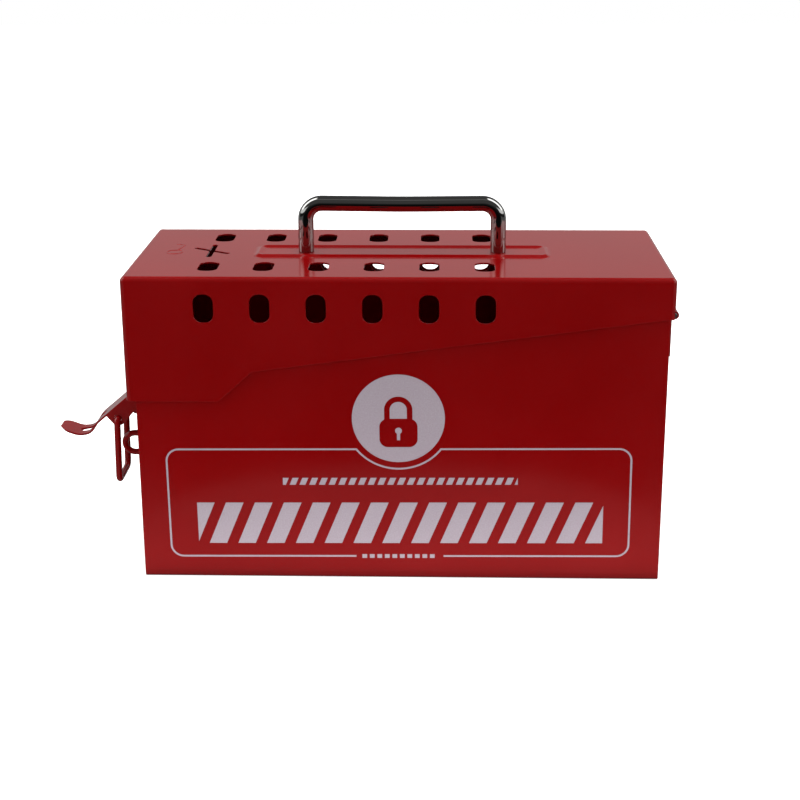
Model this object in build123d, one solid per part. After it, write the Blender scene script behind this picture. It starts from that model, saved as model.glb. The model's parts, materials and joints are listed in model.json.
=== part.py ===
from build123d import *
import os

os.makedirs("parts", exist_ok=True)

# Group lockout box of painted sheet steel, in millimetres.
# The origin is the middle of the box's underside, +X towards the hinge, +Y towards the rear, +Z up.
# The lid is shut and the latch lever hangs half open with its bail hanging free, as when it is unhooked.

# Box body
sheet = 1.0                 # thickness of the body and lid sheet
body_length = 253.6
body_width = 98.6
body_height = 153.0         # the lid's top rests on this rim
bend_radius = 1.5           # outer radius of the body's folds
end_flange = 12.0           # depth of the flanges turned in on the end panels

# Lid
lid_gap_latch_end = 3.3     # between the left end panel and the lid's long end wall
lid_gap_hinge_end = 1.1     # between the right end panel and the lid's short end wall
lid_gap_sides = 1.2         # between the body walls and the lid's flanges
lid_bend_radius = 2.4       # outer radius of the lid's folds
skirt_low = 60.25           # drop of the flanges below the rim of the body beside the latch
skirt_step = 14.95          # rise of the flange's edge in its short steep stretch
skirt_high = 19.0           # drop of the flanges beside the hinge
skirt_step_from = 40.05     # where the steep stretch starts and ends, from the body's left end
skirt_step_to = 56.3
skirt_slope_to = 250.5      # where the long slope ends
end_wall_short = 15.0       # drop of the end wall above the hinge

# Padlock slots, in line in the lid's top, its flanges and the body's walls
slot_count = 6
slot_pitch = 26.5
slot_first_from_end = 34.6  # first slot from the body's left end
slot_width = 9.5
slot_length = 13.8          # in the flanges
slot_length_top = 17.0      # in the lid's top
slot_corner = 4.1           # the ends are a little flatter than half circles
slot_depth_below_rim = 14.05
slot_row_spacing = 60.0     # between the two rows in the lid's top
body_slot_margin = 0.8      # the wall's slots are this much larger all round

# Key slot in the lid's top: two crossing cuts
key_slot_from_end = 31.7
key_slot_y = 1.5
key_slot_width = 2.6
key_slot_long = 26.0
key_slot_short = 22.0
key_slot_turn = -32.0       # the short cut's turn from the X axis

# Raised pad under the handle, with a sunken middle
pad_length = 146.0
pad_width = 24.4
pad_slope = 2.2             # width of the pad's sloped sides
pad_rise = 1.1
pad_rim = 0.5               # width of the level rim
pad_dish_slope = 2.0
pad_dish_depth = 0.9
pad_corner = 3.0

# Handle
handle_spacing = 95.3
handle_rod = 7.7
handle_height = 28.7        # from the pad's middle to the top of the rod beside its bends
handle_bend = 8.0           # radius of the rod's centre line
handle_sag = 0.5            # how much lower the middle of the grip is
handle_sag_bend = 600.0
screw_radius = 2.0
screw_reach = 12.0
screw_tip_gap = 1.0         # left at the end of the bore
screw_head_radius = 4.0
screw_head_height = 2.4
screw_head_edge = 0.9
washer_radius = 5.5
washer_thickness = 0.8
screw_hole_gap = 0.3
snug_gap = 0.03             # radial gap of what is fixed in a hole

# Hinge
hinge_side_gap = 2.3        # from each end of the hinge to the body's side
hinge_knuckles = 5
knuckle_radius = 1.95
knuckle_gap = 0.3           # between neighbouring knuckles
hinge_wall_gap = 0.3        # between the barrel and the end panel
hinge_pin_radius = 1.1
hinge_pin_gap = 0.06
hinge_drop = 17.8           # axis below the body's rim
leaf_thickness = 0.85
leaf_body_height = 18.0
leaf_lid_height = 15.0
leaf_lap = 1.0              # how far the knuckles' strips run into their leaf

# Latch lever, given in its own frame: pivot at the origin, lever pointing down, body on its +X side
latch_rest_turn = 49.5      # how far the lever stands open
latch_lid_gap = 6.65        # between the latch base and the lid's lower edge
lever_pivot_stand = 8.3     # pivot axis from the end panel
lever_half_width = 9.0
lever_sheet = 1.0
lever_spine_out = 4.0       # outer face of the spine from the pivot axis
lever_spine_from = 3.2
lever_spine_to = 18.6
lever_eye_radius = 3.2      # ears' round end at the pivot
lever_ear_radius = 3.8      # and at the bail
bail_pivot_down = 14.8
bail_pivot_in = 1.7
lever_pin_radius = 1.25
lever_pin_gap = 0.08
pin_head_radius = 1.85
pin_head_height = 0.6
pin_head_edge = 0.3
pin_head_gap = 0.25
tab_half_width = 7.0
tab_taper_from = 6.4        # below the spine, where the tab starts and ends to narrow
tab_taper_to = 12.0
tab_bends = [(6.4, 0.0), (13.55, 2.35), (19.05, -1.35), (24.2, -10.3)]  # (down, in) from the end of the spine
tab_radii = [8.0, 7.0, 11.0]
tab_end = 2.5               # rise of the tab's blunt round end
tab_slot_width = 4.6
tab_slot_from = 19.8        # below the pivot
tab_slot_to = 37.3
tab_lap = 1.0               # how far the tab runs into the spine

# Latch base
base_thickness = 1.2
base_side_gap = 0.3         # between the base's ears and the lever's
base_top = 7.0              # above the pivot
base_bottom = 7.6           # below the pivot
base_toe = 1.0              # how much lower the ears reach at their front
base_toe_front = 1.7        # their lowest point before the pivot axis
base_front = 2.4            # ears' front edge before the pivot axis
base_toe_cut = 0.7
base_foot = 2.0             # depth of the ears that stays full height beside the wall
base_rivet_low = 4.0        # rivets below and above the pivot
base_rivet_high = 3.6
rivet_radius = 1.6
rivet_head_radius = 3.0
rivet_head_height = 1.0
rivet_head_edge = 0.6
rivet_set_radius = 2.7

# Wire bail
bail_wire = 3.3
bail_side_gap = 0.35        # between the bail's legs and the lever's ears
bail_length = 33.0
bail_lean = 1.2             # degrees that its bottom hangs outward
bail_corner = 3.2
bail_end_bend = 1.9
bail_hole_gap = 0.05
bail_end_inside = 0.8       # the hooked ends reach this far past the ears

# Padlock eye
staple_wire = 3.1
staple_reach = 18.95
staple_height = 13.5
staple_drop = 27.2          # middle of the eye below the lever's pivot
staple_tail = 1.6           # stub left inside the end panel

# Keeper on the lid
keeper_sheet = 1.0
keeper_half_width = 7.0
keeper_wire_gap = 0.25
keeper_plate_height = 18.0
keeper_lip = 1.6
keeper_rivet_spread = 8.0
keeper_rivet_drop = 5.0     # rivets below the plate's top edge

# Cutters run this far past what they cut
beyond = 1.0

# Places worked out from the values above
half_length = body_length / 2
half_width = body_width / 2
lid_left = -half_length - lid_gap_latch_end - sheet
lid_right = half_length + lid_gap_hinge_end + sheet
lid_half_width = half_width + lid_gap_sides + sheet
lid_top = body_height + sheet
lid_inner_bend = min(lid_bend_radius - sheet, lid_gap_sides, lid_gap_hinge_end)
skirt_bottom = body_height - skirt_low
slot_level = body_height - slot_depth_below_rim
slot_places = [-half_length + slot_first_from_end + slot_pitch * i for i in range(slot_count)]
hinge_length = body_width - 2 * hinge_side_gap
hinge_x = half_length + hinge_wall_gap + knuckle_radius
hinge_z = body_height - hinge_drop
pivot_x = -half_length - lever_pivot_stand
lever_pivot_height = skirt_bottom - latch_lid_gap - base_top
staple_level = lever_pivot_height - staple_drop
keeper_inner = bail_wire / 2 + keeper_wire_gap
keeper_x = lid_left - keeper_sheet - keeper_inner
hooked_lean = keeper_x - (pivot_x + bail_pivot_in)     # of the bail along X when the latch is shut
hooked_rise = (bail_length ** 2 - hooked_lean ** 2) ** 0.5
keeper_level = lever_pivot_height - bail_pivot_down + hooked_rise + keeper_wire_gap
handle_base = lid_top + pad_rise - pad_dish_depth
through = 4 * body_width    # long enough to cut through everything


def block(x0, x1, y0, y1, z0, z1):
    """A box between two corners."""
    return Pos((x0 + x1) / 2, (y0 + y1) / 2, (z0 + z1) / 2) * Box(x1 - x0, y1 - y0, z1 - z0)


def rod(radius, start, end):
    """A round bar between two points."""
    line = Line(start, end)
    return extrude(Plane(start, z_dir=line % 0) * Circle(radius), line.length)


def side_profile(points):
    """A face in the XZ plane from (x, z) points."""
    return make_face(Polyline(*[(x, 0, z) for x, z in points], close=True))


def across(face, half):
    """Extrudes an XZ face to both sides along Y."""
    return extrude(face, half, dir=(0, 1, 0), both=True)


def wall_slots(margin):
    """Cutters for the slots in the front and rear walls and flanges."""
    tool = RectangleRounded(slot_width + 2 * margin, slot_length + 2 * margin, slot_corner + margin)
    return [extrude(Plane.XZ * Pos(x, slot_level) * tool, through / 2, both=True) for x in slot_places]


def top_slots():
    """Cutters for the two rows of slots in the lid's top."""
    tool = extrude(RectangleRounded(slot_width, slot_length_top, slot_corner), sheet + beyond, both=True)
    rows = (-slot_row_spacing / 2, slot_row_spacing / 2)
    return [Pos(x, y, lid_top) * tool for y in rows for x in slot_places]


def rivet(x_outer, x_inner, y, z):
    """A rivet along X, with a button head outside x_outer and a flat set head inside x_inner."""
    shank = rod(rivet_radius - snug_gap, (x_outer, y, z), (x_inner, y, z))
    outer = rod(rivet_head_radius, (x_outer - rivet_head_height, y, z), (x_outer, y, z))
    outer = chamfer(outer.faces().sort_by(Axis.X)[0].edges(), rivet_head_edge)
    inner = rod(rivet_set_radius, (x_inner, y, z), (x_inner + rivet_head_height, y, z))
    return shank + outer + inner


def body_wrap():
    """Front wall, floor and rear wall in one folded sheet."""
    outer = block(-half_length, half_length, -half_width, half_width, 0, body_height)
    outer = fillet(outer.edges().filter_by(Axis.X).group_by(Axis.Z)[0], bend_radius)
    inner = block(-half_length - beyond, half_length + beyond, sheet - half_width, half_width - sheet,
                  sheet, body_height + beyond)
    inner = fillet(inner.edges().filter_by(Axis.X).group_by(Axis.Z)[0], bend_radius - sheet)
    wrap = outer - inner
    return wrap - wall_slots(body_slot_margin)


def pan_folds(pan):
    """The edges where the pan-shaped end panel is folded."""
    folds = pan.edges().filter_by(Axis.Z).group_by(Axis.X)[0]
    folds += pan.edges().filter_by(Axis.Y).group_by(Axis.X)[0].sort_by(Axis.Z)[0:1]
    return folds + pan.edges().filter_by(Axis.X).group_by(Axis.Z)[0]


def end_panel(side):
    """Pan-shaped end panel, its flanges lapped inside the wrap. side is -1 left or 1 right."""
    half = half_width - sheet
    panel = block(-half_length, -half_length + end_flange, -half, half, sheet, body_height)
    hollow = block(-half_length + sheet, -half_length + end_flange + beyond, sheet - half, half - sheet,
                   2 * sheet, body_height + beyond)
    panel = fillet(pan_folds(panel), bend_radius) - fillet(pan_folds(hollow), bend_radius - sheet)
    if side > 0:
        panel = mirror(panel, about=Plane.YZ)
    return panel


def left_panel():
    """The left end panel with its holes for the latch rivets and the padlock eye."""
    panel = end_panel(-1)
    outside = -half_length - beyond
    inside = -half_length + sheet + beyond
    for z in base_rivet_levels():
        panel -= rod(rivet_radius, (outside, 0, z), (inside, 0, z))
    for z in staple_leg_levels():
        panel -= rod(staple_wire / 2 + snug_gap, (outside, 0, z), (inside, 0, z))
    return panel


def skirt_outline():
    """What lies below the lid's sloping edge, to be cut away."""
    right = lid_right + beyond
    left = lid_left - beyond
    edge = [(left, skirt_bottom),
            (-half_length + skirt_step_from, skirt_bottom),
            (-half_length + skirt_step_to, skirt_bottom + skirt_step),
            (-half_length + skirt_slope_to, body_height - skirt_high),
            (right, body_height - skirt_high)]
    return side_profile(edge + [(right, -beyond), (left, -beyond)])


def pad_form(drop):
    """The raised pad and its sunken middle, lowered by drop: (what stands up, what is sunk in it)."""
    low = lid_top - drop
    inside_length = pad_length - 2 * pad_slope
    inside_width = pad_width - 2 * pad_slope
    raised = loft([
        Pos(0, 0, low) * RectangleRounded(pad_length, pad_width, pad_corner + pad_slope),
        Pos(0, 0, low + pad_rise) * RectangleRounded(inside_length, inside_width, pad_corner)])
    mouth = pad_rim * 2
    floor = mouth + 2 * pad_dish_slope
    sunk = loft([
        Pos(0, 0, low + pad_rise) * RectangleRounded(inside_length - mouth, inside_width - mouth, pad_corner),
        Pos(0, 0, low + pad_rise - pad_dish_depth)
        * RectangleRounded(inside_length - floor, inside_width - floor, pad_corner - pad_dish_slope / 2)])
    return raised, sunk


def key_slot():
    """Two crossing cuts that let keys drop into the shut box."""
    long_cut = SlotOverall(key_slot_long, key_slot_width, rotation=90)
    short_cut = SlotOverall(key_slot_short, key_slot_width, rotation=key_slot_turn)
    cross = extrude(long_cut + short_cut, sheet + beyond, both=True)
    return Pos(-half_length + key_slot_from_end, key_slot_y, lid_top) * cross


def lid_shell():
    """The lid, pressed from one sheet."""
    outer = block(lid_left, lid_right, -lid_half_width, lid_half_width, 0, lid_top)
    folds = outer.edges().filter_by(Axis.Z) + outer.edges().group_by(Axis.Z)[-1]
    outer = fillet(folds, lid_bend_radius)
    inner = block(lid_left + sheet, lid_right - sheet, sheet - lid_half_width, lid_half_width - sheet,
                  -beyond, lid_top - sheet)
    folds = inner.edges().filter_by(Axis.Z) + inner.edges().group_by(Axis.Z)[-1]
    inner = fillet(folds, lid_inner_bend)
    raised, sunk = pad_form(0)
    raised_under, sunk_under = pad_form(sheet)
    lid = (outer + raised - sunk) - ((inner + raised_under) - sunk_under)
    lid -= across(skirt_outline(), through / 2)
    lid -= block(lid_right - lid_bend_radius, lid_right + beyond, sheet - lid_half_width,
                 lid_half_width - sheet, -beyond, body_height - end_wall_short)
    lid -= wall_slots(0)
    lid -= top_slots()
    lid -= key_slot()
    reach = pad_rise + sheet + beyond
    for x in handle_legs():
        lid -= rod(screw_radius + screw_hole_gap, (x, 0, lid_top - reach), (x, 0, lid_top + reach))
    for y in keeper_rivet_places():
        lid -= rod(rivet_radius, (lid_left - beyond, y, keeper_rivet_level()),
                   (lid_left + sheet + beyond, y, keeper_rivet_level()))
    return lid


def handle_legs():
    """Where the handle's legs stand along X."""
    return (-handle_spacing / 2, handle_spacing / 2)


def carry_handle():
    """A bent rod, its grip a little sunk in the middle, with a bore for a screw in each foot."""
    reach = handle_spacing / 2
    level = handle_base + handle_height - handle_rod / 2
    path = FilletPolyline((-reach, 0, handle_base), (-reach, 0, level), (0, 0, level - handle_sag),
                          (reach, 0, level), (reach, 0, handle_base),
                          radius=[handle_bend, handle_sag_bend, handle_bend])
    handle = sweep(Plane((-reach, 0, handle_base), z_dir=(0, 0, 1)) * Circle(handle_rod / 2), path)
    for x in handle_legs():
        handle -= rod(screw_radius + snug_gap, (x, 0, handle_base), (x, 0, handle_base + screw_reach))
    return handle


def handle_washer(x):
    """Washer between the lid and a handle screw."""
    top = handle_base - sheet
    ring = Circle(washer_radius) - Circle(screw_radius + screw_hole_gap)
    return Pos(x, 0, top) * extrude(ring, -washer_thickness)


def handle_screw(x):
    """Pan-head screw from inside the lid."""
    seat = handle_base - sheet - washer_thickness
    shank = rod(screw_radius, (x, 0, seat), (x, 0, handle_base + screw_reach - screw_tip_gap))
    head = rod(screw_head_radius, (x, 0, seat - screw_head_height), (x, 0, seat))
    head = chamfer(head.edges().group_by(Axis.Z)[0], screw_head_edge)
    return shank + head


def knuckle_spans(first):
    """Every second knuckle's (low, high) along Y, starting with knuckle number first."""
    pitch = hinge_length / hinge_knuckles
    low = -hinge_length / 2
    return [(low + pitch * i + knuckle_gap / 2, low + pitch * (i + 1) - knuckle_gap / 2)
            for i in range(first, hinge_knuckles, 2)]


def knuckle(span, bore, x0, x1, leaf_end):
    """One knuckle and the strip of leaf that curls into it."""
    low, high = span
    barrel = rod(knuckle_radius, (hinge_x, low, hinge_z), (hinge_x, high, hinge_z))
    strip = block(x0, x1, low, high, min(hinge_z, leaf_end), max(hinge_z, leaf_end))
    hole = rod(bore, (hinge_x, low - beyond, hinge_z), (hinge_x, high + beyond, hinge_z))
    return barrel + strip - hole


def hinge_leaf_body():
    """Leaf on the outside of the right end panel."""
    x0 = half_length
    x1 = x0 + leaf_thickness
    top = hinge_z - knuckle_radius - knuckle_gap
    leaf = block(x0, x1, -hinge_length / 2, hinge_length / 2, top - leaf_body_height, top)
    for span in knuckle_spans(0):
        leaf += knuckle(span, hinge_pin_radius + snug_gap, x0, x1, top - leaf_lap)
    return leaf


def hinge_leaf_lid():
    """Leaf on the inside of the lid's short end wall."""
    x1 = lid_right - sheet
    x0 = x1 - leaf_thickness
    low = hinge_z + knuckle_radius + knuckle_gap
    top = min(low + leaf_lid_height, body_height - lid_inner_bend)
    leaf = block(x0, x1, -hinge_length / 2, hinge_length / 2, low, top)
    for span in knuckle_spans(1):
        leaf += knuckle(span, hinge_pin_radius + hinge_pin_gap, x0, x1, low + leaf_lap)
    return leaf


def hinge_pin():
    """The pin through all the knuckles."""
    reach = hinge_length / 2
    return rod(hinge_pin_radius, (hinge_x, -reach, hinge_z), (hinge_x, reach, hinge_z))


def base_rivet_levels():
    """Heights of the two rivets that hold the latch base."""
    return (lever_pivot_height - base_rivet_low, lever_pivot_height + base_rivet_high)


def latch_base():
    """Bracket on the left end panel: a web riveted to it and two ears for the pivot pin."""
    wall = lever_pivot_stand
    half = lever_half_width - lever_sheet - base_side_gap
    boss = Circle(lever_eye_radius)
    anchor = Pos(wall - base_foot / 2, (base_top - base_bottom) / 2) * Rectangle(
        base_foot, base_top + base_bottom)
    upper = make_hull(boss.edges() + anchor.edges())
    lower = make_face(Polyline((-base_front, 0), (wall, 0), (wall, -base_bottom),
                               (-base_toe_front, -base_bottom - base_toe),
                               (-base_front, -base_bottom - base_toe + base_toe_cut), close=True))
    outline = upper + lower
    solid = extrude(Plane.XZ * outline, half, both=True)
    gap = block(-through, wall - base_thickness, base_thickness - half, half - base_thickness,
                -through, through)
    base = solid - gap - rod(lever_pin_radius + snug_gap, (0, -half - beyond, 0), (0, half + beyond, 0))
    base = Pos(pivot_x, 0, lever_pivot_height) * base
    for z in base_rivet_levels():
        base -= rod(rivet_radius, (-half_length - base_thickness - beyond, 0, z),
                    (-half_length + beyond, 0, z))
    return base


def latch_base_rivets():
    """Two rivets through the latch base and the end panel."""
    return Compound([rivet(-half_length - base_thickness, -half_length + sheet, 0, z)
                     for z in base_rivet_levels()])


def latch_pivot_pin():
    """Pin through the ears of the base and the lever, headed at both ends."""
    reach = lever_half_width + pin_head_gap
    pin = rod(lever_pin_radius, (0, -reach, 0), (0, reach, 0))
    for side in (-1, 1):
        head = rod(pin_head_radius, (0, side * reach, 0), (0, side * (reach + pin_head_height), 0))
        outer = head.edges().sort_by(Axis.Y)[0 if side < 0 else -1]
        pin += chamfer(outer, pin_head_edge)
    return Pos(pivot_x, 0, lever_pivot_height) * pin


def lever_placed(solid):
    """Moves a piece from the lever's own frame to its pivot, turned to where the lever hangs."""
    return Pos(pivot_x, 0, lever_pivot_height) * Rot(0, latch_rest_turn, 0) * solid


def lever_ears():
    """Channel of the lever: spine and two ears."""
    back = Line((-lever_spine_out, -lever_spine_from), (-lever_spine_out, -lever_spine_to))
    eye = Circle(lever_eye_radius)
    bail_eye = Pos(bail_pivot_in, -bail_pivot_down) * Circle(lever_ear_radius)
    outline = make_hull(eye.edges() + bail_eye.edges() + back.edges())
    solid = extrude(Plane.XZ * outline, lever_half_width, both=True)
    inside = lever_half_width - lever_sheet
    gap = block(-lever_spine_out + lever_sheet, through, -inside, inside, -through, through)
    mouth = block(-through, through, -inside, inside, -lever_spine_from, through)
    return solid - gap - mouth


def tab_outline():
    """The tab seen along X: as wide as the lever at its neck, then narrower, with a blunt round end."""
    neck = -lever_spine_to - tab_taper_from
    blade = -lever_spine_to - tab_taper_to
    end = tab_end - lever_spine_to - tab_bends[-1][0]
    side = [(lever_half_width, 0), (lever_half_width, neck), (tab_half_width, blade), (tab_half_width, end)]
    other = [(-y, z) for y, z in reversed(side)]
    return make_face(Polyline(*side, *other, close=True)) + Pos(0, end) * Ellipse(tab_half_width, tab_end)


def finger_tab():
    """Curled finger lift below the spine, with the slot for the padlock eye."""
    mid = -lever_spine_out + lever_sheet / 2
    start = (mid, 0, tab_lap - lever_spine_to)
    bends = [(mid + inward, 0, -lever_spine_to - down) for down, inward in tab_bends]
    path = FilletPolyline(start, *bends, radius=tab_radii)
    section = Plane(start, x_dir=(0, 1, 0), z_dir=(0, 0, -1)) * Rectangle(2 * lever_half_width, lever_sheet)
    strip = sweep(section, path)
    slot_mid = (tab_slot_from + tab_slot_to) / 2
    slot = Pos(0, -slot_mid) * SlotOverall(tab_slot_to - tab_slot_from, tab_slot_width, rotation=90)
    return strip & extrude(Plane.YZ * (tab_outline() - slot), through / 2, both=True)


def latch_lever():
    """The lever with its pivot and bail holes, hanging half open."""
    lever = lever_ears() + finger_tab()
    lever -= rod(lever_pin_radius + lever_pin_gap, (0, -through, 0), (0, through, 0))
    bail = (bail_pivot_in, -bail_pivot_down)
    lever -= rod(bail_wire / 2 + bail_hole_gap, (bail[0], -through, bail[1]), (bail[0], through, bail[1]))
    return lever_placed(lever)


def bail_pivot():
    """Where the bail's hooked ends turn, with the lever at rest."""
    point = lever_placed(Pos(bail_pivot_in, 0, -bail_pivot_down) * Sphere(bail_wire)).center()
    return point.X, point.Z


def latch_bail():
    """Wire bail hanging from the lever's ears."""
    x, z = bail_pivot()
    leg = lever_half_width + bail_side_gap + bail_wire / 2
    end = lever_half_width - lever_sheet - bail_end_inside
    low = -bail_length
    path = FilletPolyline((0, -end, 0), (0, -leg, 0), (0, -leg, low), (0, leg, low), (0, leg, 0), (0, end, 0),
                          radius=[bail_end_bend, bail_corner, bail_corner, bail_end_bend])
    bail = sweep(Plane((0, -end, 0), z_dir=(0, -1, 0)) * Circle(bail_wire / 2), path)
    return Pos(x, 0, z) * Rot(0, bail_lean, 0) * bail


def staple_leg_levels():
    """Heights of the padlock eye's two legs."""
    half = (staple_height - staple_wire) / 2
    return (staple_level - half, staple_level + half)


def padlock_staple():
    """U of wire through the left end panel."""
    low, high = staple_leg_levels()
    tail = -half_length + sheet + staple_tail
    round_end = -half_length - staple_reach + staple_wire / 2 + (high - low) / 2
    path = Wire([Line((tail, 0, low), (round_end, 0, low)),
                 ThreePointArc((round_end, 0, low), (round_end - (high - low) / 2, 0, staple_level),
                               (round_end, 0, high)),
                 Line((round_end, 0, high), (tail, 0, high))])
    return sweep(Plane((tail, 0, low), z_dir=(-1, 0, 0)) * Circle(staple_wire / 2), path)


def keeper_rivet_level():
    """Height of the keeper's rivets."""
    return keeper_level + keeper_plate_height - keeper_rivet_drop


def keeper_rivet_places():
    """The keeper's rivets along Y."""
    return (-keeper_rivet_spread / 2, keeper_rivet_spread / 2)


def lid_keeper():
    """Hook on the lid's left end wall, open upwards, that the bail pulls down on."""
    outer = keeper_inner + keeper_sheet
    hook = Pos(keeper_x, keeper_level) * (Circle(outer) - Circle(keeper_inner))
    hook -= Pos(keeper_x, keeper_level + outer) * Rectangle(2 * outer, 2 * outer)
    plate = Pos(lid_left - keeper_sheet / 2, keeper_level + keeper_plate_height / 2) * Rectangle(
        keeper_sheet, keeper_plate_height)
    lip = Pos(keeper_x - keeper_inner - keeper_sheet / 2, keeper_level + keeper_lip / 2) * Rectangle(
        keeper_sheet, keeper_lip)
    keeper = extrude(Plane.XZ * (hook + plate + lip), keeper_half_width, both=True)
    level = keeper_rivet_level()
    for y in keeper_rivet_places():
        keeper -= rod(rivet_radius, (lid_left - keeper_sheet - beyond, y, level),
                      (lid_left + beyond, y, level))
    return keeper


def keeper_rivets():
    """Two rivets through the keeper and the lid's end wall."""
    return Compound([rivet(lid_left - keeper_sheet, lid_left + sheet, y, keeper_rivet_level())
                     for y in keeper_rivet_places()])


pieces = {
    "body_wrap": body_wrap(),
    "end_panel_left": left_panel(),
    "end_panel_right": end_panel(1),
    "hinge_leaf_body": hinge_leaf_body(),
    "hinge_pin": hinge_pin(),
    "latch_base": latch_base(),
    "latch_base_rivets": latch_base_rivets(),
    "latch_pivot_pin": latch_pivot_pin(),
    "padlock_staple": padlock_staple(),
    "lid_shell": lid_shell(),
    "hinge_leaf_lid": hinge_leaf_lid(),
    "lid_keeper": lid_keeper(),
    "keeper_rivets": keeper_rivets(),
    "carry_handle": carry_handle(),
    "latch_lever": latch_lever(),
    "latch_bail": latch_bail(),
}
for label, x in zip(("left", "right"), handle_legs()):
    pieces["handle_screw_" + label] = handle_screw(x)
    pieces["handle_washer_" + label] = handle_washer(x)

for name, solid in pieces.items():
    export_step(solid, "parts/" + name + ".step")
print(len(pieces), "nodes; hinge axis", hinge_x, hinge_z, "lever pivot", pivot_x, lever_pivot_height,
      "bail pivot", bail_pivot())
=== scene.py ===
import bpy
import json
import math
from mathutils import Matrix, Vector

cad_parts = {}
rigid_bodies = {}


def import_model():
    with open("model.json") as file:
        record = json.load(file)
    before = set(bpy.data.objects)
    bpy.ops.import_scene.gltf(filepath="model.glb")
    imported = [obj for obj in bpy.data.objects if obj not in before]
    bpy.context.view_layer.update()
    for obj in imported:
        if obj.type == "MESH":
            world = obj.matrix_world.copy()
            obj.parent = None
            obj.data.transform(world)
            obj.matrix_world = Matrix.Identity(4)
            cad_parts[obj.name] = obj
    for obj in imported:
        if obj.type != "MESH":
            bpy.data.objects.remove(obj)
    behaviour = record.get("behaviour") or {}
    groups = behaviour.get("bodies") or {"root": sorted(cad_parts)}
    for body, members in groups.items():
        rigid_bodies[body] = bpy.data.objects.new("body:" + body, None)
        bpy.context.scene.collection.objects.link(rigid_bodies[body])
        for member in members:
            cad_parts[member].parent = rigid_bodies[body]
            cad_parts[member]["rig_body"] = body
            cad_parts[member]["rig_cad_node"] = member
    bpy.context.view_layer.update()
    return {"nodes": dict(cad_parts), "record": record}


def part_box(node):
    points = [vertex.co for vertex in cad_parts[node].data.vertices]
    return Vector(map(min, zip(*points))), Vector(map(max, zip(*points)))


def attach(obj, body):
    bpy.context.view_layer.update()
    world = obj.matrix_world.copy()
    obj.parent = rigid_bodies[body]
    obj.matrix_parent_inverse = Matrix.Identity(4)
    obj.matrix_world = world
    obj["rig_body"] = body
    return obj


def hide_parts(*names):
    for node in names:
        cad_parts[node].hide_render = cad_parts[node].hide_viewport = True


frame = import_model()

mm = 0.001
print("frame loaded,", len(frame["nodes"]), "nodes")

scene = bpy.context.scene
scene.view_settings.view_transform = "Standard"


# places read from the frame
bodyLow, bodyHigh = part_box("body_wrap")
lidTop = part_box("lid_shell")[1].z
frontWall = bodyLow.y
middle = (bodyLow + bodyHigh) / 2
jointPlace = {j["name"]: Vector(j["pos_m"]) for j in frame["record"]["behaviour"]["joints"]}


# camera, as the photograph was taken
camera = {
    "place": (18.0 * mm, -709.7 * mm, 328.0 * mm),
    "turn": 1.547,             # degrees to the left of straight ahead
    "tilt": 16.507,            # degrees down
    "roll": -0.217,
    "focalPixels": 1467.1,
    "framePixels": 800,
    "axisPixel": (400.0, 321.98),   # where the lens axis meets the picture
    "sensor": 36,              # mm
    "clip": (0.01, 50),
}


def makeCamera():
    data = bpy.data.cameras.new("camera")
    wide = camera["framePixels"]
    across, down = camera["axisPixel"]
    data.sensor_width = camera["sensor"]
    data.lens = data.sensor_width * camera["focalPixels"] / wide
    data.shift_x = (wide / 2 - across) / wide
    data.shift_y = (down - wide / 2) / wide
    data.clip_start, data.clip_end = camera["clip"]
    eye = bpy.data.objects.new("camera", data)
    scene.collection.objects.link(eye)
    aim = Matrix.Rotation(math.radians(camera["turn"]), 4, "Z")
    aim = aim @ Matrix.Rotation(math.radians(90 - camera["tilt"]), 4, "X")
    aim = aim @ Matrix.Rotation(math.radians(camera["roll"]), 4, "Z")
    eye.matrix_world = Matrix.Translation(camera["place"]) @ aim
    scene.camera = eye


makeCamera()
print("camera set")


# small helpers for the modelling
def clearSelection():
    if bpy.context.mode != "OBJECT":
        bpy.ops.object.mode_set(mode="OBJECT")
    bpy.ops.object.select_all(action="DESELECT")


def pickOnly(piece):
    clearSelection()
    piece.select_set(True)
    bpy.context.view_layer.objects.active = piece


def editMode(piece):
    pickOnly(piece)
    bpy.ops.object.mode_set(mode="EDIT")


def editAll(piece):
    editMode(piece)
    bpy.ops.mesh.select_all(action="SELECT")


def objectMode():
    bpy.ops.object.mode_set(mode="OBJECT")


def applyPlace(piece):
    pickOnly(piece)
    bpy.ops.object.transform_apply(location=True, rotation=True, scale=True)


def applyModifiers(piece):
    pickOnly(piece)
    for name in [m.name for m in piece.modifiers]:
        bpy.ops.object.modifier_apply(modifier=name)


def setMaterial(piece, material):
    piece.data.materials.clear()
    piece.data.materials.append(material)


def joinPieces(name, pieces):
    clearSelection()
    for piece in pieces:
        piece.select_set(True)
    bpy.context.view_layer.objects.active = pieces[0]
    bpy.ops.object.join()
    pieces[0].name = name
    return pieces[0]


def cutOut(piece, cutter):   # takes the cutter's shape out of the piece and removes the cutter
    cut = piece.modifiers.new("cut", "BOOLEAN")
    cut.operation = "DIFFERENCE"
    cut.object = cutter
    applyModifiers(piece)
    bpy.data.objects.remove(cutter)


# these two choose parts of a mesh in object mode, for the next visit to edit mode
def chooseNone(piece):
    for part in (piece.data.vertices, piece.data.edges, piece.data.polygons):
        part.foreach_set("select", [False] * len(part))


def chooseFaces(piece, test):   # the faces whose middle and normal pass the test
    chooseNone(piece)
    for face in piece.data.polygons:
        face.select = test(face.center, face.normal)


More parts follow.
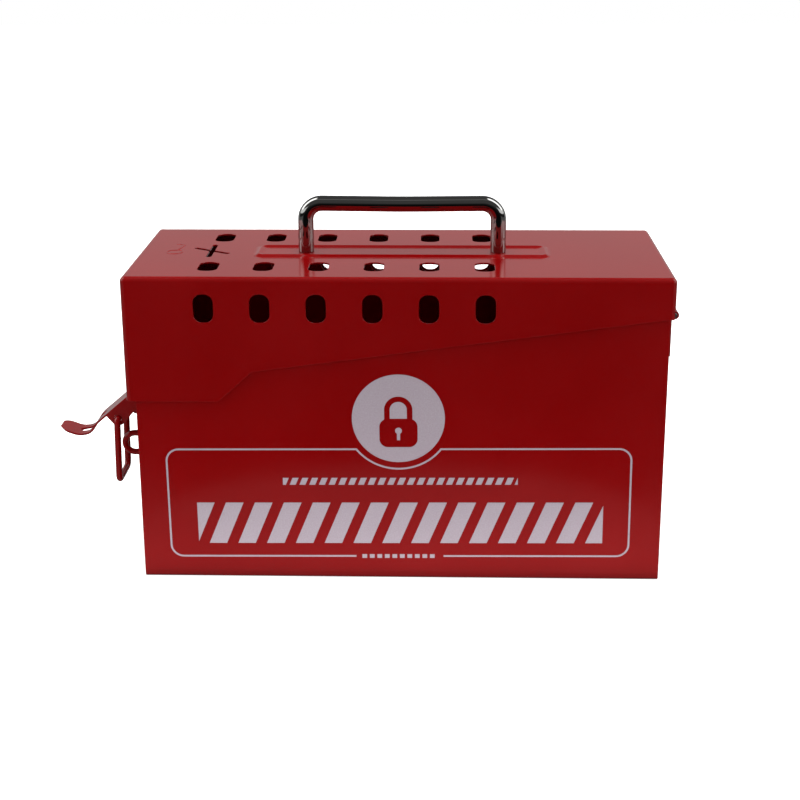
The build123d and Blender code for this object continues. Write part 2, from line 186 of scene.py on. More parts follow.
# materials
redPaint = {
    "dark": (0.196, 0.0004, 0.0008),
    "light": (0.220, 0.0006, 0.0011),
    "cloudScale": 14,          # slow change of shade, per metre
    "roughness": (0.10, 0.14),
    "peelScale": 620,          # orange peel of the powder coat
    "peelDepth": 0.010 * mm,
    "grainScale": 2600,
    "grainDepth": 0.002 * mm,
    "ior": 1.5,
}
chrome = {"colour": (0.35, 0.35, 0.34), "roughness": (0.03, 0.08), "scratchScale": 900}
zinc = {"dark": (0.38, 0.39, 0.41), "light": (0.58, 0.59, 0.60), "roughness": (0.28, 0.42),
        "spangleScale": 320}
ink = {"colour": (0.400, 0.345, 0.395), "thin": (0.345, 0.280, 0.320), "roughness": (0.38, 0.5),
       "grainScale": 1500, "grainDepth": 0.004 * mm}


def startMaterial(name):
    material = bpy.data.materials.new(name)
    material.use_nodes = True
    nodes, links = material.node_tree.nodes, material.node_tree.links
    shader = nodes["Principled BSDF"]
    coords = nodes.new("ShaderNodeTexCoord")
    return material, nodes, links, shader, coords.outputs["Object"]


def noiseNode(nodes, links, vector, scale, detail):
    noise = nodes.new("ShaderNodeTexNoise")
    noise.inputs["Scale"].default_value = scale
    noise.inputs["Detail"].default_value = detail
    links.new(vector, noise.inputs["Vector"])
    return noise.outputs["Fac"]


# most of a noise lies between 0.3 and 0.7
def rangeNode(nodes, links, value, low, high, fromLow=0.3, fromHigh=0.7):
    spread = nodes.new("ShaderNodeMapRange")
    spread.inputs["From Min"].default_value = fromLow
    spread.inputs["From Max"].default_value = fromHigh
    spread.inputs["To Min"].default_value = low
    spread.inputs["To Max"].default_value = high
    links.new(value, spread.inputs["Value"])
    return spread.outputs["Result"]


def colourNode(nodes, links, factor, first, second):
    mix = nodes.new("ShaderNodeMix")
    mix.data_type = "RGBA"
    mix.inputs["A"].default_value = (*first, 1)
    mix.inputs["B"].default_value = (*second, 1)
    links.new(factor, mix.inputs["Factor"])
    return mix.outputs["Result"]


def bumpNode(nodes, links, height, depth, before=None):
    bump = nodes.new("ShaderNodeBump")
    bump.inputs["Strength"].default_value = 1
    bump.inputs["Distance"].default_value = depth
    links.new(height, bump.inputs["Height"])
    if before is not None:
        links.new(before, bump.inputs["Normal"])
    return bump.outputs["Normal"]


def makeRedPaint():
    material, nodes, links, shader, place = startMaterial("red_powder_coat")
    cloud = noiseNode(nodes, links, place, redPaint["cloudScale"], detail=3)
    shade = rangeNode(nodes, links, cloud, 0, 1)
    colour = colourNode(nodes, links, shade, redPaint["dark"], redPaint["light"])
    links.new(colour, shader.inputs["Base Color"])
    links.new(rangeNode(nodes, links, cloud, *redPaint["roughness"]), shader.inputs["Roughness"])
    peel = noiseNode(nodes, links, place, redPaint["peelScale"], detail=1)
    grain = noiseNode(nodes, links, place, redPaint["grainScale"], detail=2)
    normal = bumpNode(nodes, links, peel, redPaint["peelDepth"])
    normal = bumpNode(nodes, links, grain, redPaint["grainDepth"], normal)
    links.new(normal, shader.inputs["Normal"])
    shader.inputs["IOR"].default_value = redPaint["ior"]
    return material


def makeChrome():
    material, nodes, links, shader, place = startMaterial("polished_chrome")
    shader.inputs["Base Color"].default_value = (*chrome["colour"], 1)
    shader.inputs["Metallic"].default_value = 1
    fine = noiseNode(nodes, links, place, chrome["scratchScale"], detail=3)
    links.new(rangeNode(nodes, links, fine, *chrome["roughness"]), shader.inputs["Roughness"])
    return material


def makeZinc():
    material, nodes, links, shader, place = startMaterial("zinc_plated_steel")
    shader.inputs["Metallic"].default_value = 1
    spangle = noiseNode(nodes, links, place, zinc["spangleScale"], detail=4)
    shade = rangeNode(nodes, links, spangle, 0, 1)
    links.new(colourNode(nodes, links, shade, zinc["dark"], zinc["light"]), shader.inputs["Base Color"])
    links.new(rangeNode(nodes, links, spangle, *zinc["roughness"]), shader.inputs["Roughness"])
    return material


def makeInk():
    material, nodes, links, shader, place = startMaterial("pale_print_ink")
    grain = noiseNode(nodes, links, place, ink["grainScale"], detail=3)
    shade = rangeNode(nodes, links, grain, 0, 1)
    links.new(colourNode(nodes, links, shade, ink["thin"], ink["colour"]), shader.inputs["Base Color"])
    links.new(rangeNode(nodes, links, grain, *ink["roughness"]), shader.inputs["Roughness"])
    links.new(bumpNode(nodes, links, grain, ink["grainDepth"]), shader.inputs["Normal"])
    return material


redPaintMaterial = makeRedPaint()
chromeMaterial = makeChrome()
zincMaterial = makeZinc()
inkMaterial = makeInk()
slotMaterials = {"red_paint": redPaintMaterial, "chrome_rod": chromeMaterial, "zinc_steel": zincMaterial}
for node in frame["nodes"].values():
    for place in node.material_slots:
        place.material = slotMaterials[place.material.name.split(".")[0]]
print("materials made")


# floor, world and lamps: a white studio with a dark front, as the handle's reflections show
studio = {
    "floorSize": 6.0,
    "floorAlbedo": 0.80,
    "floorRoughness": 0.9,
    "floorWhite": 0.72,        # what the floor adds for the camera alone
    "fill": 0.36,              # even light from all round
    "glossNear": 0.22,         # how bright the floor is in a reflection close by
    "glossReach": (0.178, 0.215),   # the reflected floor fades out between these distances from the middle
    "glossFloor": 0.006,       # the rest of the floor in a reflection
    "glossFloorSides": 0.15,
    "glossBack": 0.40,         # reflections behind the box
    "glossFront": 0.02,
    "glossTop": 0.095,         # overhead
    "glossLine": 0.45,         # the gap between two cloths overhead
    "glossHighCards": 3.6,     # a lamp cloth high on each side
    "glossLowCards": 1.4,      # a white card low on each side
}
spans = {   # where each of these starts and is full, as shares of a direction's X, Y and Z
    "floorSides": (0.55, 0.75),
    "back": (0.10, 0.45),
    "backTop": (0.42, 0.62),
    "frontToTop": (0.05, 0.40),
    "highCardIn": (0.20, 0.32),
    "highCardLow": (0.20, 0.34),
    "highCardTop": (0.92, 0.97),
    "highCardFront": (-0.22, -0.10),
    "lowCardIn": (0.36, 0.46),
    "lowCardLow": (0.08, 0.14),
    "lowCardTop": (0.30, 0.40),
    "lowCardFront": (-0.80, -0.68),
    "cardRear": (0.20, 0.34),
    "lineFront": (-0.40, -0.36),
    "lineRear": (-0.31, -0.27),
    "lineEnd": (0.25, 0.32),
    "lineUp": (0.80, 0.88),
}
lamps = {
    "overhead": {"place": (0.0, 0.10, 1.35), "size": (1.5, 1.1), "power": 21},
    "leftFront": {"place": (-1.2, -1.1, 1.25), "size": (0.9, 0.9), "power": 5.8},
    "rightFront": {"place": (1.3, -1.0, 1.25), "size": (0.9, 0.9), "power": 4.9},
    "rear": {"place": (0.2, 1.5, 1.1), "size": (1.2, 0.9), "power": 9},
    # this one lies on the floor in front of the box, and stands for the light that the floor sends up
    "floorGlow": {"place": (0.0, -0.0775, 0.0004), "size": (0.30, 0.045), "power": 0.088, "aim": (0, 0, 1)},
}


def mathNode(nodes, links, operation, *values):
    step = nodes.new("ShaderNodeMath")
    step.operation = operation
    for socket, value in zip(step.inputs, values):
        links.new(value, socket)
    return step.outputs[0]


def mathChain(nodes, links, operation, values):   # the same step over all the values, one after another
    result = values[0]
    for value in values[1:]:
        result = mathNode(nodes, links, operation, result, value)
    return result


def vectorNode(nodes, links, operation, vector):
    step = nodes.new("ShaderNodeVectorMath")
    step.operation = operation
    links.new(vector, step.inputs[0])
    return step


def splitNode(nodes, links, direction):   # a direction's share to either side, to the rear and upward
    split = nodes.new("ShaderNodeSeparateXYZ")
    links.new(direction, split.inputs[0])
    sideways = mathNode(nodes, links, "ABSOLUTE", split.outputs["X"])
    return sideways, split.outputs["Y"], split.outputs["Z"]


def mixShaders(nodes, links, factor, first, second):
    mix = nodes.new("ShaderNodeMixShader")
    for socket, value in zip(mix.inputs, (factor, first, second)):
        links.new(value, socket)
    return mix.outputs[0]


def whiteBackground(nodes, strength=1):
    background = nodes.new("ShaderNodeBackground")
    background.inputs["Color"].default_value = (1, 1, 1, 1)
    background.inputs["Strength"].default_value = strength
    return background


def smoothNode(nodes, links, value, span, low, high):
    result = rangeNode(nodes, links, value, low, high, *span)
    result.node.interpolation_type = "SMOOTHSTEP"
    return result


def studioGlow(nodes, links, direction):   # how bright the studio is in a reflection, by direction
    sideways, rearward, up = splitNode(nodes, links, direction)

    def rise(value, name, high=1.0):
        return smoothNode(nodes, links, value, spans[name], 0, high)

    def fall(value, name):
        return smoothNode(nodes, links, value, spans[name], 1, 0)

    def product(factors):
        return mathChain(nodes, links, "MULTIPLY", factors)

    def card(name, glow):
        return product([rise(sideways, name + "In", studio[glow]), rise(up, name + "Low"),
                        fall(up, name + "Top"), rise(rearward, name + "Front"), fall(rearward, "cardRear")])

    line = product([rise(rearward, "lineFront", studio["glossLine"]), fall(rearward, "lineRear"),
                    fall(sideways, "lineEnd"), rise(up, "lineUp")])
    back = product([rise(rearward, "back", studio["glossBack"]), fall(up, "backTop")])
    frontToTop = smoothNode(nodes, links, up, spans["frontToTop"], studio["glossFront"], studio["glossTop"])
    highCards, lowCards = card("highCard", "glossHighCards"), card("lowCard", "glossLowCards")
    return mathChain(nodes, links, "MAXIMUM", [frontToTop, highCards, lowCards, line, back])


def makeFloor():
    clearSelection()
    bpy.ops.mesh.primitive_plane_add(size=studio["floorSize"], location=(0, 0, 0))
    floor = bpy.context.object
    floor.name = "studio_floor"
    material, nodes, links, shader, place = startMaterial("pale_floor")
    shader.inputs["Base Color"].default_value = (studio["floorAlbedo"],) * 3 + (1,)
    shader.inputs["Roughness"].default_value = studio["floorRoughness"]
    shader.inputs["Specular IOR Level"].default_value = 0.0
    path = nodes.new("ShaderNodeLightPath")
    whiten = nodes.new("ShaderNodeEmission")
    whiten.inputs["Strength"].default_value = studio["floorWhite"]
    extra = nodes.new("ShaderNodeAddShader")
    links.new(shader.outputs[0], extra.inputs[0])
    links.new(whiten.outputs[0], extra.inputs[1])
    seen = mixShaders(nodes, links, path.outputs["Is Camera Ray"], shader.outputs[0], extra.outputs[0])
    distance = vectorNode(nodes, links, "LENGTH", place).outputs["Value"]
    outward = vectorNode(nodes, links, "NORMALIZE", place).outputs["Vector"]
    sideways, rearward = splitNode(nodes, links, outward)[:2]
    near = smoothNode(nodes, links, distance, studio["glossReach"], studio["glossNear"], studio["glossFloor"])
    sides = smoothNode(nodes, links, sideways, spans["floorSides"], 0, studio["glossFloorSides"])
    back = smoothNode(nodes, links, rearward, spans["back"], 0, studio["glossBack"])
    reflected = nodes.new("ShaderNodeEmission")
    links.new(mathChain(nodes, links, "MAXIMUM", [near, sides, back]), reflected.inputs["Strength"])
    final = mixShaders(nodes, links, path.outputs["Is Glossy Ray"], seen, reflected.outputs[0])
    links.new(final, nodes["Material Output"].inputs["Surface"])
    floor.data.materials.append(material)


def makeWorld():
    world = bpy.data.worlds.new("studio")
    scene.world = world
    world.use_nodes = True
    nodes, links = world.node_tree.nodes, world.node_tree.links
    nodes.clear()
    path = nodes.new("ShaderNodeLightPath")
    coords = nodes.new("ShaderNodeTexCoord")
    glossy = whiteBackground(nodes)
    links.new(studioGlow(nodes, links, coords.outputs["Generated"]), glossy.inputs["Strength"])
    fill = whiteBackground(nodes, studio["fill"])
    seen = whiteBackground(nodes)
    lit = mixShaders(nodes, links, path.outputs["Is Glossy Ray"], fill.outputs[0], glossy.outputs[0])
    final = mixShaders(nodes, links, path.outputs["Is Camera Ray"], lit, seen.outputs[0])
    output = nodes.new("ShaderNodeOutputWorld")
    links.new(final, output.inputs["Surface"])


def makeLamps():
    for name, lamp in lamps.items():
        data = bpy.data.lights.new(name, "AREA")
        data.shape = "RECTANGLE"
        data.size, data.size_y = lamp["size"]
        data.energy = lamp["power"]
        light = bpy.data.objects.new(name, data)
        light.location = lamp["place"]
        aim = Vector(lamp["aim"]) if "aim" in lamp else middle - light.location
        light.rotation_euler = aim.to_track_quat("-Z", "Y").to_euler()
        light.visible_glossy = False
        light.visible_camera = False
        scene.collection.objects.link(light)


makeFloor()
makeWorld()
makeLamps()
print("floor, world and", len(lamps), "lamps made")


# sheet parts, rivets and washers: copies of the frame's solids with their cut edges rounded
roundEdges = {
    "width": {
        "lid_shell": 0.22 * mm, "body_wrap": 0.22 * mm,
        "end_panel_left": 0.2 * mm, "end_panel_right": 0.2 * mm,
        "hinge_leaf_body": 0.16 * mm, "hinge_leaf_lid": 0.16 * mm, "latch_base": 0.2 * mm,
        "lid_keeper": 0.2 * mm, "latch_lever": 0.22 * mm, "latch_base_rivets": 0.28 * mm,
        "keeper_rivets": 0.28 * mm, "latch_pivot_pin": 0.16 * mm,
        "handle_washer_left": 0.15 * mm, "handle_washer_right": 0.15 * mm, "hinge_pin": 0.25 * mm,
    },
    "segments": 2,
    "sharp": 18,               # degrees, above which an edge is rounded
    "smooth": 50,              # degrees, up to which faces shade as one
    "flat": 0.05,              # degrees, under which two faces are made one
    "faceWeight": 100,
    "merge": 0.002 * mm,
}
padEdge = {   # the pad that the handle stands on is pressed, with soft bends
    "rise": 1.1 * mm, "floor": 0.2 * mm, "halfLength": 76 * mm, "halfWidth": 14 * mm,
    "holes": (55 * mm, 4 * mm), "round": 0.9 * mm, "segments": 4, "near": 0.02 * mm,
}


def softenPad(lid):   # rounds the bends at the pad's foot and round its sunk floor, but not the screw holes
    mesh = lid.data
    foot = lidTop - padEdge["rise"]

    def onBend(place):
        clear = abs(place.x) > padEdge["holes"][0] or abs(place.y) > padEdge["holes"][1]
        inside = abs(place.x) < padEdge["halfLength"] and abs(place.y) < padEdge["halfWidth"]
        height = min(abs(place.z - foot), abs(place.z - foot - padEdge["floor"]))
        return clear and inside and height < padEdge["near"]

    chooseNone(lid)
    for edge in mesh.edges:
        edge.select = all(onBend(mesh.vertices[i].co) for i in edge.vertices)
    editMode(lid)
    bpy.ops.mesh.select_mode(type="EDGE")
    bpy.ops.mesh.bevel(offset=padEdge["round"], segments=padEdge["segments"], affect="EDGES")
    bpy.ops.mesh.select_mode(type="VERT")
    bpy.ops.mesh.select_all(action="SELECT")
    bpy.ops.mesh.remove_doubles(threshold=padEdge["near"])
    objectMode()


def roundedCopy(nodeName, width):
    node = frame["nodes"][nodeName]
    finish = node.material_slots[0].material
    slot = next(name for name, material in slotMaterials.items() if material == finish)
    low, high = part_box(nodeName)
    pickOnly(node)
    bpy.ops.object.duplicate()
    copy = bpy.context.object
    copy.name = "rounded_" + nodeName
    body = copy["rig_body"]
    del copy["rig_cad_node"]
    editAll(copy)
    bpy.ops.mesh.customdata_custom_splitnormals_clear()
    bpy.ops.mesh.remove_doubles(threshold=roundEdges["merge"])
    bpy.ops.mesh.dissolve_limited(angle_limit=math.radians(roundEdges["flat"]))
    objectMode()
    if nodeName == "lid_shell":
        softenPad(copy)
    bevel = copy.modifiers.new("edges", "BEVEL")
    bevel.width = width
    bevel.segments = roundEdges["segments"]
    bevel.limit_method = "ANGLE"
    bevel.angle_limit = math.radians(roundEdges["sharp"])
    bevel.use_clamp_overlap = False
    bevel.miter_outer = "MITER_ARC"
    applyModifiers(copy)
    for corner in copy.data.vertices:   # a mitre can reach a little past a narrow corner
        corner.co = [min(max(value, least), most) for value, least, most in zip(corner.co, low, high)]
    bpy.ops.object.shade_smooth_by_angle(angle=math.radians(roundEdges["smooth"]))
    weighted = copy.modifiers.new("flat_faces_stay_flat", "WEIGHTED_NORMAL")
    weighted.weight = roundEdges["faceWeight"]
    weighted.keep_sharp = True
    applyModifiers(copy)
    setMaterial(copy, slotMaterials[slot])
    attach(copy, body)
    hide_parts(nodeName)


for nodeName, width in roundEdges["width"].items():
    roundedCopy(nodeName, width)
print("edges rounded on", len(roundEdges["width"]), "pieces")


# bent wires and rods: a ring that is run along straights and spun round bends
rodBuild = {"shortest": 0.01 * mm, "endSteps": 3}   # a straight shorter than this is left out


def bentRod(name, thickness, corners, radii, sides, steps, endRound):
    corners = [Vector(c) for c in corners]
    heads = [(b - a).normalized() for a, b in zip(corners, corners[1:])]
    trims = [r * math.tan(a.angle(b) / 2) for r, a, b in zip(radii, heads, heads[1:])]
    lengths = [(b - a).length - first - last
               for a, b, first, last in zip(corners, corners[1:], [0] + trims, trims + [0])]
    clearSelection()
    bpy.ops.mesh.primitive_circle_add(vertices=sides, radius=thickness / 2, location=corners[0],
                                      rotation=heads[0].to_track_quat("Z", "Y").to_euler())
    piece = bpy.context.object
    piece.name = name
    applyPlace(piece)
    editAll(piece)
    place = corners[0].copy()
    for index, (head, length) in enumerate(zip(heads, lengths)):
        if length > rodBuild["shortest"]:
            bpy.ops.mesh.extrude_region_move(TRANSFORM_OT_translate={"value": head * length})
            place += head * length
        if index < len(radii):
            turn = head.angle(heads[index + 1])
            axis = head.cross(heads[index + 1]).normalized()
            centre = place + axis.cross(head) * radii[index]
            bpy.ops.mesh.spin(steps=max(2, round(steps * turn / (math.pi / 2))), angle=-turn, center=centre,
                              axis=axis)
            place = centre + Matrix.Rotation(turn, 3, axis) @ (place - centre)
    bpy.ops.mesh.select_all(action="SELECT")
    bpy.ops.mesh.remove_doubles(threshold=roundEdges["merge"])
    bpy.ops.mesh.fill_holes(sides=0)
    bpy.ops.mesh.normals_make_consistent(inside=False)
    objectMode()
    chooseNone(piece)
    for face in piece.data.polygons:   # only the two ends have more than four corners
        face.select = len(face.vertices) > 4
    editMode(piece)
    bpy.ops.mesh.bevel(offset=endRound, segments=rodBuild["endSteps"], affect="EDGES")
    objectMode()
    bpy.ops.object.shade_smooth_by_angle(angle=math.radians(roundEdges["smooth"]))
    return piece


def replaceNode(piece, nodeName, slot):
    setMaterial(piece, slotMaterials[slot])
    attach(piece, frame["nodes"][nodeName]["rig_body"])
    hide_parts(nodeName)


handle = {"rod": 7.7 * mm, "height": 28.35 * mm, "bend": 8.0 * mm, "sag": 0.5 * mm, "sagBend": 600 * mm,
          "sides": 64, "steps": 28, "endRound": 0.3 * mm}


def carryHandle():
    low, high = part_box("carry_handle")
    reach = high.x - handle["rod"] / 2
    foot = low.z
    level = foot + handle["height"] - handle["rod"] / 2
    corners = [(-reach, 0, foot), (-reach, 0, level), (0, 0, level - handle["sag"]), (reach, 0, level),
               (reach, 0, foot)]
    bends = [handle["bend"], handle["sagBend"], handle["bend"]]
    piece = bentRod("polished_handle", handle["rod"], corners, bends, handle["sides"], handle["steps"],
                    handle["endRound"])
    replaceNode(piece, "carry_handle", "chrome_rod")


bail = {"wire": 3.3 * mm, "length": 33.0 * mm, "lean": 1.2, "halfWidth": 11.0 * mm, "hookEnd": 7.2 * mm,
        "corner": 3.2 * mm, "hookBend": 1.9 * mm, "sides": 32, "steps": 12, "endRound": 0.4 * mm}
staple = {"wire": 3.1 * mm, "sides": 32, "steps": 16, "endRound": 0.4 * mm}


def wireBail():
    eye = jointPlace["bail_pivot"]
    lean = math.radians(bail["lean"])
    drop = Vector((-math.sin(lean), 0, -math.cos(lean))) * bail["length"]
    wide, end = Vector((0, bail["halfWidth"], 0)), Vector((0, bail["hookEnd"], 0))
    corners = [eye - end, eye - wide, eye - wide + drop, eye + wide + drop, eye + wide, eye + end]
    piece = bentRod("bail_wire", bail["wire"], corners,
                    [bail["hookBend"], bail["corner"], bail["corner"], bail["hookBend"]],
                    bail["sides"], bail["steps"], bail["endRound"])
    replaceNode(piece, "latch_bail", "red_paint")


def wireStaple():
    low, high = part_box("padlock_staple")
    half = staple["wire"] / 2
    bottom, top, far = low.z + half, high.z - half, low.x + half
    bend = (top - bottom) / 2
    corners = [(high.x, 0, bottom), (far, 0, bottom), (far, 0, top), (high.x, 0, top)]
    piece = bentRod("staple_wire", staple["wire"], corners, [bend, bend], staple["sides"], staple["steps"],
                    staple["endRound"])
    replaceNode(piece, "padlock_staple", "red_paint")


carryHandle()
wireBail()
wireStaple()
print("handle, bail and padlock eye bent")


# handle screws: pan heads with a cross recess, seen when the lid is open
screw = {"crossLength": 4.6 * mm, "crossWidth": 1.1 * mm, "crossDepth": 1.1 * mm, "shankRadius": 2 * mm,
         "headRound": 0.8 * mm, "headSteps": 4, "tipRound": 0.5 * mm, "tipSteps": 2, "sides": 48,
         "smooth": 30, "levelFace": 0.9, "near": 0.01 * mm}


def headedScrew(nodeName):
    low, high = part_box(nodeName)
    centre = (low + high) / 2
    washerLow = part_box(nodeName.replace("screw", "washer"))[0]
    headRadius = (high.x - low.x) / 2
    clearSelection()
    bpy.ops.mesh.primitive_cylinder_add(vertices=screw["sides"], radius=headRadius, depth=washerLow.z - low.z,
                                        location=(centre.x, centre.y, (washerLow.z + low.z) / 2))
    piece = bpy.context.object
    piece.name = "cross_" + nodeName
    applyPlace(piece)
    chooseFaces(piece, lambda c, n: n.z > screw["levelFace"])
    editMode(piece)
    bpy.ops.mesh.inset(thickness=headRadius - screw["shankRadius"])
    bpy.ops.mesh.extrude_region_move(TRANSFORM_OT_translate={"value": (0, 0, high.z - washerLow.z)})
    bpy.ops.mesh.bevel(offset=screw["tipRound"], segments=screw["tipSteps"], affect="EDGES")
    objectMode()
    chooseFaces(piece, lambda c, n: n.z < -screw["levelFace"] and c.z < low.z + screw["near"])
    editMode(piece)
    bpy.ops.mesh.bevel(offset=screw["headRound"], segments=screw["headSteps"], affect="EDGES")
    objectMode()
    for turn in (0, 90):
        clearSelection()
        bpy.ops.mesh.primitive_cube_add(size=1, location=(centre.x, centre.y, low.z),
                                        rotation=(0, 0, math.radians(turn)))
        cutter = bpy.context.object
        cutter.scale = (screw["crossLength"], screw["crossWidth"], 2 * screw["crossDepth"])
        applyPlace(cutter)
        cutOut(piece, cutter)
    bpy.ops.object.shade_smooth_by_angle(angle=math.radians(screw["smooth"]))
    replaceNode(piece, nodeName, "zinc_steel")


for side in ("left", "right"):
    headedScrew("handle_screw_" + side)
print("handle screws made")


# key figure pressed up in the lid's top beside the key slot: a faint raised line
keyMark = {"bowX": -113.3 * mm, "bowY": -1.5 * mm, "bow": 3.9 * mm, "line": 0.8 * mm, "sunk": 0.22 * mm,
           "shaftEnd": (-110.2 * mm, 13.5 * mm), "toothEnd": (-115.0 * mm, 15.2 * mm), "bend": 1.0 * mm,
           "endRound": 0.8 * mm / 6, "bowSteps": 64, "sides": 16, "steps": 8}


def pressedKey():
    level = lidTop - padEdge["rise"] - keyMark["sunk"]
    bowMiddle = Vector((keyMark["bowX"], keyMark["bowY"], level))
    clearSelection()
    bpy.ops.mesh.primitive_torus_add(major_radius=keyMark["bow"], minor_radius=keyMark["line"] / 2,
                                     major_segments=keyMark["bowSteps"], minor_segments=keyMark["sides"],
                                     location=bowMiddle)
    bow = bpy.context.object
    applyPlace(bow)
    shaftEnd, toothEnd = Vector((*keyMark["shaftEnd"], level)), Vector((*keyMark["toothEnd"], level))
    start = bowMiddle + (shaftEnd - bowMiddle).normalized() * keyMark["bow"]
    shaft = bentRod("key_shaft", keyMark["line"], [start, shaftEnd, toothEnd], [keyMark["bend"]],
                    keyMark["sides"], keyMark["steps"], keyMark["endRound"])
    mark = joinPieces("pressed_key_mark", [bow, shaft])
    bpy.ops.object.shade_smooth_by_angle(angle=math.radians(roundEdges["smooth"]))
    setMaterial(mark, redPaintMaterial)
    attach(mark, "lid")


pressedKey()
print("key mark pressed")


# print on the front wall: a frame line, rows of bars and a disc with a padlock figure, in pale ink
sign = {
    "thick": 0.06 * mm,
    "thin": 0.045 * mm,        # where two plates cross, one is a little lower
    "middleX": -0.5 * mm,
    "askew": -0.42,            # degrees, as the print sits on the box
    "askewAbout": (-0.5 * mm, 40.0 * mm),
    "cornerSteps": 10,
    "frame": {"left": -113.7 * mm, "right": 111.9 * mm, "low": 11.5 * mm, "high": 68.7 * mm,
              "line": 0.88 * mm, "corner": 6.5 * mm, "lowGap": 21.5 * mm},
    "disc": {"radius": 22.3 * mm, "height": 83.9 * mm, "gap": 3.0 * mm, "sides": 96, "dipSides": 160},
    "wideBand": {"left": -99.5 * mm, "right": 98.6 * mm, "low": 18.9 * mm, "high": 40.4 * mm,
                 "pitch": 14.2 * mm, "bar": 8.6 * mm, "lean": 9.0 * mm},
    "thinBand": {"left": -57 * mm, "right": 57 * mm, "low": 49.8 * mm, "high": 53.4 * mm,
                 "pitch": 4.75 * mm, "bar": 2.9 * mm, "lean": 1.5 * mm},
    "smallBand": {"left": -19 * mm, "right": 18 * mm, "low": 10.9 * mm, "high": 12.9 * mm,
                  "pitch": 3.7 * mm, "bar": 2.3 * mm, "lean": 0.0},
}
padlock = {   # heights are from the disc's middle
    "halfWidth": 9.2 * mm, "low": -14.6 * mm, "high": 0.0, "corner": 4.2 * mm,
    "shackleHalf": 6.8 * mm, "shackleTop": 11.2 * mm, "shackleBand": 2.7 * mm,
    "shackleBend": 6.8 * mm * 0.99, "shackleSteps": 16,
    "keyRadius": 1.6 * mm, "keySides": 40, "keyHeight": -6.2 * mm, "keyFoot": -11.0 * mm,
    "keyHalf": 0.75 * mm,
    "through": 2.0 * mm,
}


def flatPlate(name, left, right, low, high, corner=0.0):   # a face standing on the front wall's plane
    clearSelection()
    bpy.ops.mesh.primitive_plane_add(size=1, rotation=(math.radians(90), 0, 0),
                                     location=((left + right) / 2, frontWall, (low + high) / 2))
    plate = bpy.context.object
    plate.name = name
    plate.scale = (right - left, high - low, 1)
    applyPlace(plate)
    if corner:
        editAll(plate)
        bpy.ops.mesh.bevel(offset=corner, segments=sign["cornerSteps"], affect="VERTICES")
        objectMode()
    return plate


def flatDisc(name, radius, height, sides):
    clearSelection()
    bpy.ops.mesh.primitive_circle_add(vertices=sides, radius=radius, fill_type="NGON",
                                      rotation=(math.radians(90), 0, 0),
                                      location=(sign["middleX"], frontWall, height))
    disc = bpy.context.object
    disc.name = name
    applyPlace(disc)
    return disc


def thicken(piece, thick=sign["thick"]):   # a plate gets its thickness outward from the wall
    editAll(piece)
    bpy.ops.mesh.extrude_region_move(TRANSFORM_OT_translate={"value": (0, -thick, 0)})
    bpy.ops.mesh.select_all(action="SELECT")
    bpy.ops.mesh.normals_make_consistent(inside=False)
    objectMode()


def finishSign(piece):
    x, z = sign["askewAbout"]
    centre = Matrix.Translation((x, 0, z))
    piece.data.transform(centre @ Matrix.Rotation(math.radians(sign["askew"]), 4, "Y") @ centre.inverted())
    setMaterial(piece, inkMaterial)
    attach(piece, "box_body")


def cutAway(piece, test):   # deletes the faces that pass the test
    chooseFaces(piece, test)
    editMode(piece)
    bpy.ops.mesh.delete(type="FACE")
    objectMode()


def splitAt(piece, x):
    editAll(piece)
    bpy.ops.mesh.bisect(plane_co=(x, 0, 0), plane_no=(1, 0, 0))
    objectMode()


def signFrame():   # a round-cornered line that dips below the disc, open in the middle of its lower side
    part = sign["frame"]
    disc = sign["disc"]
    middleX = sign["middleX"]
    outline = flatPlate("sign_frame", part["left"], part["right"], part["low"], part["high"], part["corner"])
    editAll(outline)
    bpy.ops.mesh.inset(thickness=part["line"])
    bpy.ops.mesh.delete(type="FACE")
    objectMode()
    dip = disc["radius"] + disc["gap"]
    reach = math.sqrt(dip ** 2 - (disc["height"] - part["high"]) ** 2)
    for x in (middleX - reach, middleX + reach, middleX - part["lowGap"], middleX + part["lowGap"]):
        splitAt(outline, x)
    upper, lower = part["high"] - 2 * part["line"], part["low"] + 2 * part["line"]
    cutAway(outline, lambda c, n: abs(c.x - middleX) < reach and c.z > upper)
    cutAway(outline, lambda c, n: abs(c.x - middleX) < part["lowGap"] and c.z < lower)
    ring = flatDisc("sign_dip", dip + part["line"], disc["height"], disc["dipSides"])
    editAll(ring)
    bpy.ops.mesh.inset(thickness=part["line"])
    bpy.ops.mesh.delete(type="FACE")
    bpy.ops.mesh.select_all(action="SELECT")
    bpy.ops.mesh.bisect(plane_co=(0, 0, part["high"]), plane_no=(0, 0, 1), clear_outer=True)
    objectMode()
    thicken(outline)
    thicken(ring, sign["thin"])
    outline = joinPieces("sign_frame", [outline, ring])
    finishSign(outline)


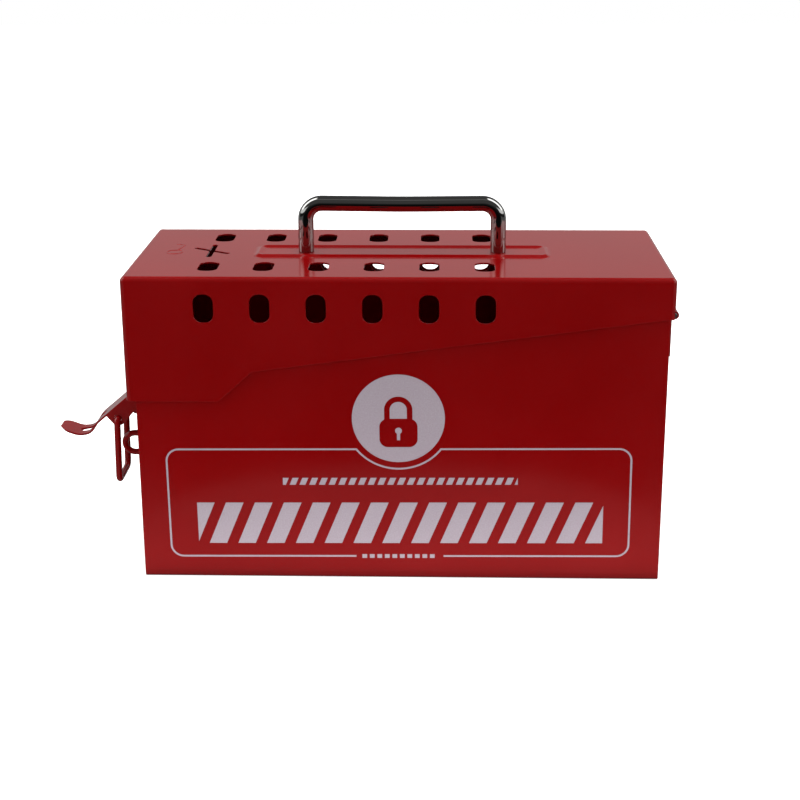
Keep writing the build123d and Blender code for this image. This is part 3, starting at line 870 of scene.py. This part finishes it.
def stripeBand(name, part):   # slanted bars in a row, cut off square at both ends
    bar = flatPlate(name, part["left"] - part["lean"], part["left"] - part["lean"] + part["bar"],
                    part["low"], part["high"])
    top = [v for v in bar.data.vertices if v.co.z > (part["low"] + part["high"]) / 2]
    for corner in top:
        corner.co.x += part["lean"]
    row = bar.modifiers.new("row", "ARRAY")
    row.count = int((part["right"] - part["left"] + 2 * part["lean"]) / part["pitch"]) + 1
    row.use_relative_offset = False
    row.use_constant_offset = True
    row.constant_offset_displace = (part["pitch"], 0, 0)
    applyModifiers(bar)
    editAll(bar)
    bpy.ops.mesh.bisect(plane_co=(part["left"], 0, 0), plane_no=(1, 0, 0), clear_inner=True)
    bpy.ops.mesh.select_all(action="SELECT")
    bpy.ops.mesh.bisect(plane_co=(part["right"], 0, 0), plane_no=(1, 0, 0), clear_outer=True)
    objectMode()
    thicken(bar)
    finishSign(bar)


def cutShape(piece, shape):   # cuts a flat shape right through the piece
    thicken(shape, 2 * padlock["through"])
    for corner in shape.data.vertices:
        corner.co.y += padlock["through"]
    cutOut(piece, shape)


def signDisc():   # the bare paint shows through the disc as a padlock
    part = sign["disc"]
    middleX = sign["middleX"]
    height = part["height"]
    disc = flatDisc("sign_disc", part["radius"], height, part["sides"])
    thicken(disc)
    case = flatPlate("case", middleX - padlock["halfWidth"], middleX + padlock["halfWidth"],
                     height + padlock["low"], height + padlock["high"], padlock["corner"])
    cutShape(disc, case)
    shackle = flatPlate("shackle", middleX - padlock["shackleHalf"], middleX + padlock["shackleHalf"],
                        height - padlock["corner"] - padlock["shackleBand"], height + padlock["shackleTop"])
    chooseNone(shackle)
    for corner in shackle.data.vertices:   # its two upper corners
        corner.select = corner.co.z > height
    editMode(shackle)
    bpy.ops.mesh.bevel(offset=padlock["shackleBend"], segments=padlock["shackleSteps"], affect="VERTICES")
    bpy.ops.mesh.select_all(action="SELECT")
    bpy.ops.mesh.inset(thickness=padlock["shackleBand"])
    bpy.ops.mesh.delete(type="FACE")
    objectMode()
    cutShape(disc, shackle)
    keyRound = flatDisc("key_round", padlock["keyRadius"], height + padlock["keyHeight"], padlock["keySides"])
    keyFoot = flatPlate("key_foot", middleX - padlock["keyHalf"], middleX + padlock["keyHalf"],
                        height + padlock["keyFoot"], height + padlock["keyHeight"])
    thicken(keyRound)
    thicken(keyFoot, sign["thin"])
    disc = joinPieces("sign_disc", [disc, keyRound, keyFoot])
    finishSign(disc)


signFrame()
stripeBand("sign_wide_band", sign["wideBand"])
stripeBand("sign_thin_band", sign["thinBand"])
stripeBand("sign_small_band", sign["smallBand"])
signDisc()
print("front print made")
